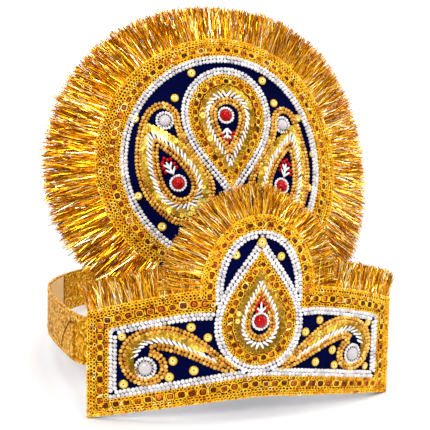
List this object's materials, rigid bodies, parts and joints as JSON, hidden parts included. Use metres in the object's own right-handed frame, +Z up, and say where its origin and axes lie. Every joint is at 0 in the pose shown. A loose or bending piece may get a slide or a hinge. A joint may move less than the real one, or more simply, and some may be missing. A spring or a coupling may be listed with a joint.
{
  "type": "mukut crown",
  "caption": "Velvet-covered crown: a curved front band with an arch, a round halo behind it, beadwork, braid, tinsel fringe and a strap that closes the ring behind the head.",
  "frame": {"origin": "middle of the bounding box on the surface that the crown stands on", "axes": "+Z up from that surface, -Y towards the front, +X to the right as seen from the front"},
  "size_m": [0.1986, 0.201, 0.2042],
  "materials": {
    "velvet": "navy velvet pile",
    "backing": "plain dark cloth on card",
    "strap": "gold glitter cloth",
    "tinsel": "shredded metal foil",
    "braid": "gold metal thread with small topaz stones",
    "white_beads": "pearl white glass beads",
    "gold_beads": "amber gold beads",
    "sequins": "small gold foil sequins",
    "crystal": "clear cut stone in a white setting",
    "red_glass": "polished red glass"
  },
  "bodies": {
    "root": {"front_board": "velvet", "halo_board": "velvet", "halo_stay": "backing", "strap": "strap", "strap_tab": "strap", "fringe_halo": "tinsel", "fringe_arch": "tinsel", "fringe_left": "tinsel", "fringe_right": "tinsel", "braid_border": "braid", "braid_front_drop": "braid", "braid_halo_rim": "braid", "braid_halo_drop": "braid", "white_front": "white_beads", "white_halo_ring": "white_beads", "white_halo_drop": "white_beads", "scroll_left": "gold_beads", "scroll_right": "gold_beads", "bugle_barb_left": "white_beads", "bugle_barb_right": "white_beads", "field_scroll_left": "sequins", "field_scroll_right": "sequins", "jewel_panel_left": "crystal", "jewel_panel_right": "crystal", "jewel_halo_left": "crystal", "jewel_halo_right": "crystal", "loop_left": "gold_beads", "loop_right": "gold_beads", "field_left": "sequins", "field_right": "sequins", "field_front": "sequins", "field_halo": "sequins", "gold_drop_front": "gold_beads", "gold_drop_halo": "gold_beads", "gold_drop_left": "gold_beads", "gold_drop_right": "gold_beads", "bugle_ring_front": "white_beads", "bugle_ring_halo": "white_beads", "bugle_ring_left": "white_beads", "bugle_ring_right": "white_beads", "dome_front": "red_glass", "dome_halo": "red_glass", "dome_left": "red_glass", "dome_right": "red_glass", "dome_ring_front": "white_beads", "dome_ring_halo": "white_beads", "dome_ring_left": "white_beads", "dome_ring_right": "white_beads", "sprig_front": "red_glass", "sprig_halo": "red_glass", "sprig_left": "red_glass", "sprig_right": "red_glass"}
  },
  "joints": []
}
